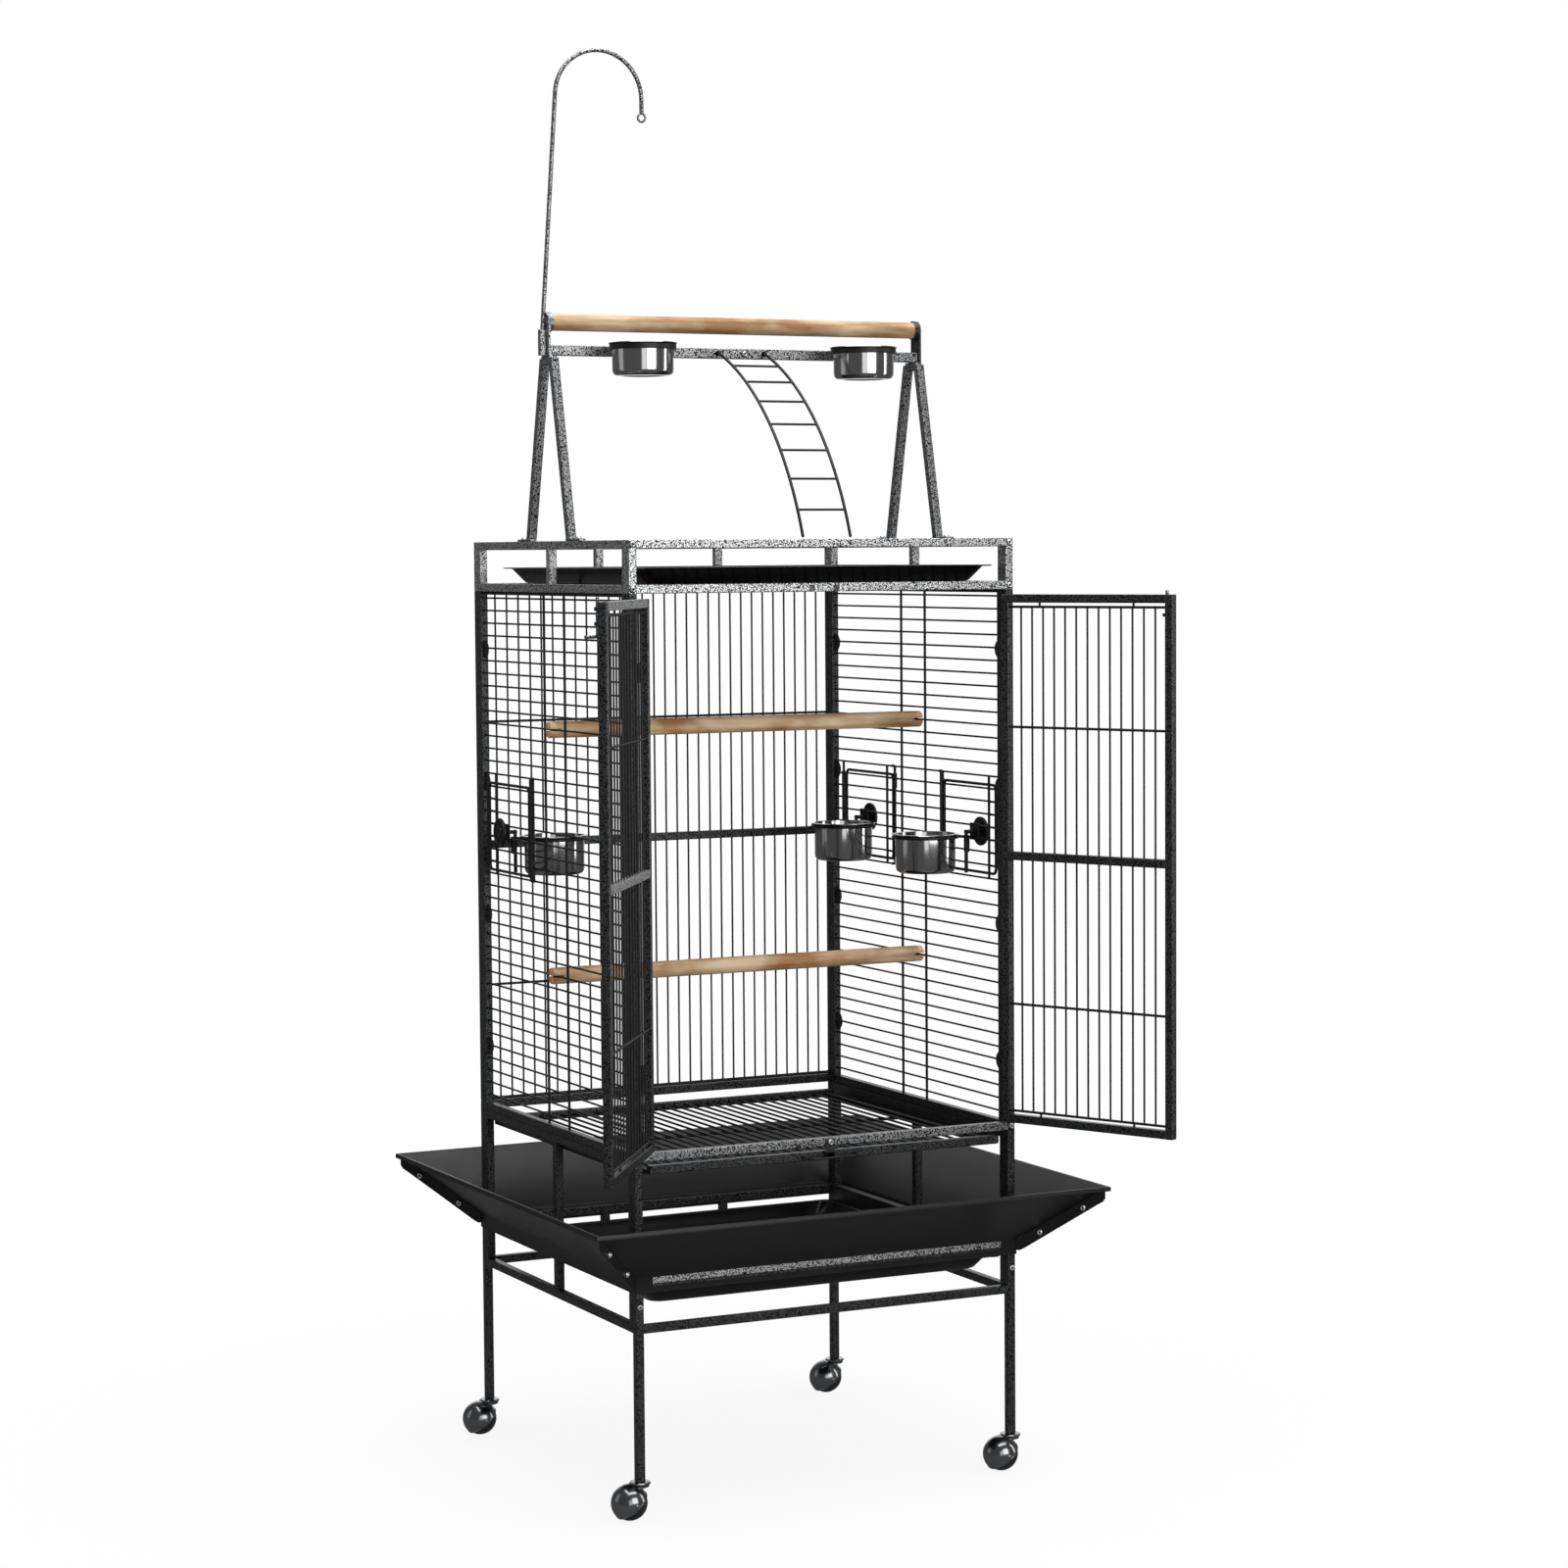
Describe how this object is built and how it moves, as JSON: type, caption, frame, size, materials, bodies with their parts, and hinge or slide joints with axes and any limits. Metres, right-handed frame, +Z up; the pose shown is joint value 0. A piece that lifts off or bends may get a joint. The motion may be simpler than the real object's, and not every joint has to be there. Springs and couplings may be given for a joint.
{
  "type": "bird cage on stand",
  "caption": "Play-top bird cage on a rolling stand, with hinged front doors, swing-out feeder doors, sliding trays and grate, perches, ladder and toy hook.",
  "frame": {"origin": "on the floor, under the middle of the cage's plan", "axes": "+Z up from the floor, +X to the right seen from the front, -Y towards the front doors"},
  "size_m": [0.9109, 0.973, 2.1229],
  "materials": {
    "hammertone": "black hammertone powder coat",
    "skirt_black": "satin black powder coat",
    "wire_black": "black powder coat on wire",
    "lock_plastic": "moulded black",
    "tray_plastic": "gloss black",
    "stainless": "polished stainless steel",
    "perch_wood": "pale turned wood",
    "zinc": "bright zinc plate",
    "caster_chrome": "polished plate",
    "caster_rubber": "dark moulded tread"
  },
  "bodies": {
    "cage": {"stand_front_frame": "hammertone", "stand_back_frame": "hammertone", "stand_left_frame": "hammertone", "stand_right_frame": "hammertone", "base_front_frame": "hammertone", "base_back_frame": "hammertone", "base_left_frame": "hammertone", "base_right_frame": "hammertone", "left_panel": "hammertone", "right_panel": "hammertone", "back_panel": "hammertone", "top_front_frame": "hammertone", "top_back_frame": "hammertone", "top_left_frame": "hammertone", "top_right_frame": "hammertone", "roof_grille": "hammertone", "skirt_front": "skirt_black", "skirt_back": "skirt_black", "skirt_left": "skirt_black", "skirt_right": "skirt_black", "left_a_frame": "hammertone", "right_a_frame": "hammertone", "left_play_bar": "hammertone", "right_play_bar": "hammertone", "toy_hook": "hammertone", "right_perch_bracket": "hammertone", "play_perch": "perch_wood", "upper_perch": "perch_wood", "lower_perch": "perch_wood", "frame_bolts": "zinc"},
    "left_door": {"left_door": "hammertone"},
    "left_latch_bolt": {"left_latch_bolt": "zinc"},
    "right_door": {"right_door": "hammertone"},
    "right_latch_bolt": {"right_latch_bolt": "zinc"},
    "left_rear_feeder_door": {"left_rear_feeder_door": "wire_black", "left_rear_feeder_ring": "wire_black"},
    "left_rear_feeder_lock": {"left_rear_feeder_lock": "lock_plastic"},
    "left_rear_feeder_cup": {"left_rear_feeder_cup": "stainless"},
    "right_rear_feeder_door": {"right_rear_feeder_door": "wire_black", "right_rear_feeder_ring": "wire_black"},
    "right_rear_feeder_lock": {"right_rear_feeder_lock": "lock_plastic"},
    "right_rear_feeder_cup": {"right_rear_feeder_cup": "stainless"},
    "right_front_feeder_door": {"right_front_feeder_door": "wire_black", "right_front_feeder_ring": "wire_black"},
    "right_front_feeder_lock": {"right_front_feeder_lock": "lock_plastic"},
    "right_front_feeder_cup": {"right_front_feeder_cup": "stainless"},
    "top_tray": {"top_tray": "tray_plastic"},
    "bottom_tray": {"bottom_tray": "tray_plastic"},
    "grate": {"grate": "wire_black"},
    "ladder": {"ladder": "wire_black"},
    "left_play_cup": {"left_play_cup": "stainless"},
    "right_play_cup": {"right_play_cup": "stainless"},
    "front_left_caster_hood": {"front_left_caster_hood": "caster_chrome"},
    "front_left_caster_ball": {"front_left_caster_ball": "caster_rubber"},
    "front_right_caster_hood": {"front_right_caster_hood": "caster_chrome"},
    "front_right_caster_ball": {"front_right_caster_ball": "caster_rubber"},
    "back_left_caster_hood": {"back_left_caster_hood": "caster_chrome"},
    "back_left_caster_ball": {"back_left_caster_ball": "caster_rubber"},
    "back_right_caster_hood": {"back_right_caster_hood": "caster_chrome"},
    "back_right_caster_ball": {"back_right_caster_ball": "caster_rubber"}
  },
  "joints": [
    {"name": "left_door_hinge", "type": "hinge", "parent": "cage", "child": "left_door", "pos_m": [-0.2981, -0.2989, 0.922], "axis": [0, 0, 1], "range_deg": [-40, 125.3]},
    {"name": "left_latch_slide", "type": "slide", "parent": "left_door", "child": "left_latch_bolt", "axis": [0, 0, 1], "range_m": [-0.008, 0.009]},
    {"name": "right_door_hinge", "type": "hinge", "parent": "cage", "child": "right_door", "pos_m": [0.2981, -0.2989, 0.922], "axis": [0, 0, 1], "range_deg": [-115.5, 50]},
    {"name": "right_latch_slide", "type": "slide", "parent": "right_door", "child": "right_latch_bolt", "axis": [0, 0, 1], "range_m": [-0.008, 0.009]},
    {"name": "left_rear_feeder_hinge", "type": "hinge", "parent": "cage", "child": "left_rear_feeder_door", "pos_m": [-0.31025, 0.078, 0.96], "axis": [0, 0, 1], "range_deg": [0, 110]},
    {"name": "left_rear_lock_turn", "type": "hinge", "parent": "left_rear_feeder_door", "child": "left_rear_feeder_lock", "pos_m": [-0.30875, 0.18, 0.95445], "axis": [1, 0, 0], "range_deg": [0, 90]},
    {"name": "left_rear_cup_lift", "type": "slide", "parent": "left_rear_feeder_door", "child": "left_rear_feeder_cup", "axis": [0, 0, 1], "range_m": [0, 0.09]},
    {"name": "right_rear_feeder_hinge", "type": "hinge", "parent": "cage", "child": "right_rear_feeder_door", "pos_m": [0.31025, 0.078, 0.96], "axis": [0, 0, -1], "range_deg": [0, 110]},
    {"name": "right_rear_lock_turn", "type": "hinge", "parent": "right_rear_feeder_door", "child": "right_rear_feeder_lock", "pos_m": [0.30875, 0.18, 0.95445], "axis": [1, 0, 0], "range_deg": [0, 90]},
    {"name": "right_rear_cup_lift", "type": "slide", "parent": "right_rear_feeder_door", "child": "right_rear_feeder_cup", "axis": [0, 0, 1], "range_m": [0, 0.09]},
    {"name": "right_front_feeder_hinge", "type": "hinge", "parent": "cage", "child": "right_front_feeder_door", "pos_m": [0.31025, -0.078, 0.96], "axis": [0, 0, 1], "range_deg": [0, 110]},
    {"name": "right_front_lock_turn", "type": "hinge", "parent": "right_front_feeder_door", "child": "right_front_feeder_lock", "pos_m": [0.30875, -0.18, 0.95445], "axis": [-1, 0, 0], "range_deg": [0, 90]},
    {"name": "right_front_cup_lift", "type": "slide", "parent": "right_front_feeder_door", "child": "right_front_feeder_cup", "axis": [0, 0, 1], "range_m": [0, 0.09]},
    {"name": "top_tray_slide", "type": "slide", "parent": "cage", "child": "top_tray", "axis": [0, -1, 0], "range_m": [0, 0.4]},
    {"name": "bottom_tray_slide", "type": "slide", "parent": "cage", "child": "bottom_tray", "axis": [0, -1, 0], "range_m": [0, 0.42]},
    {"name": "grate_slide", "type": "slide", "parent": "cage", "child": "grate", "axis": [0, -1, 0], "range_m": [0, 0.45]},
    {"name": "ladder_hinge", "type": "hinge", "parent": "cage", "child": "ladder", "pos_m": [0, -0.0075, 1.6775], "axis": [-1, 0, 0], "range_deg": [0, 15]},
    {"name": "left_play_cup_lift", "type": "slide", "parent": "cage", "child": "left_play_cup", "axis": [0, 0, 1], "range_m": [0, 0.06]},
    {"name": "right_play_cup_lift", "type": "slide", "parent": "cage", "child": "right_play_cup", "axis": [0, 0, 1], "range_m": [0, 0.06]},
    {"name": "front_left_swivel", "type": "hinge", "parent": "cage", "child": "front_left_caster_hood", "pos_m": [-0.30475, -0.28925, 0.055], "axis": [0, 0, 1], "continuous": true},
    {"name": "front_left_spin", "type": "hinge", "parent": "front_left_caster_hood", "child": "front_left_caster_ball", "pos_m": [-0.32075, -0.28925, 0.0255], "axis": [0, 1, 0], "continuous": true},
    {"name": "front_right_swivel", "type": "hinge", "parent": "cage", "child": "front_right_caster_hood", "pos_m": [0.30475, -0.28925, 0.055], "axis": [0, 0, 1], "continuous": true},
    {"name": "front_right_spin", "type": "hinge", "parent": "front_right_caster_hood", "child": "front_right_caster_ball", "pos_m": [0.28875, -0.28925, 0.0255], "axis": [0, 1, 0], "continuous": true},
    {"name": "back_left_swivel", "type": "hinge", "parent": "cage", "child": "back_left_caster_hood", "pos_m": [-0.30475, 0.28925, 0.055], "axis": [0, 0, 1], "continuous": true},
    {"name": "back_left_spin", "type": "hinge", "parent": "back_left_caster_hood", "child": "back_left_caster_ball", "pos_m": [-0.32075, 0.28925, 0.0255], "axis": [0, 1, 0], "continuous": true},
    {"name": "back_right_swivel", "type": "hinge", "parent": "cage", "child": "back_right_caster_hood", "pos_m": [0.30475, 0.28925, 0.055], "axis": [0, 0, 1], "continuous": true},
    {"name": "back_right_spin", "type": "hinge", "parent": "back_right_caster_hood", "child": "back_right_caster_ball", "pos_m": [0.28875, 0.28925, 0.0255], "axis": [0, 1, 0], "continuous": true}
  ]
}
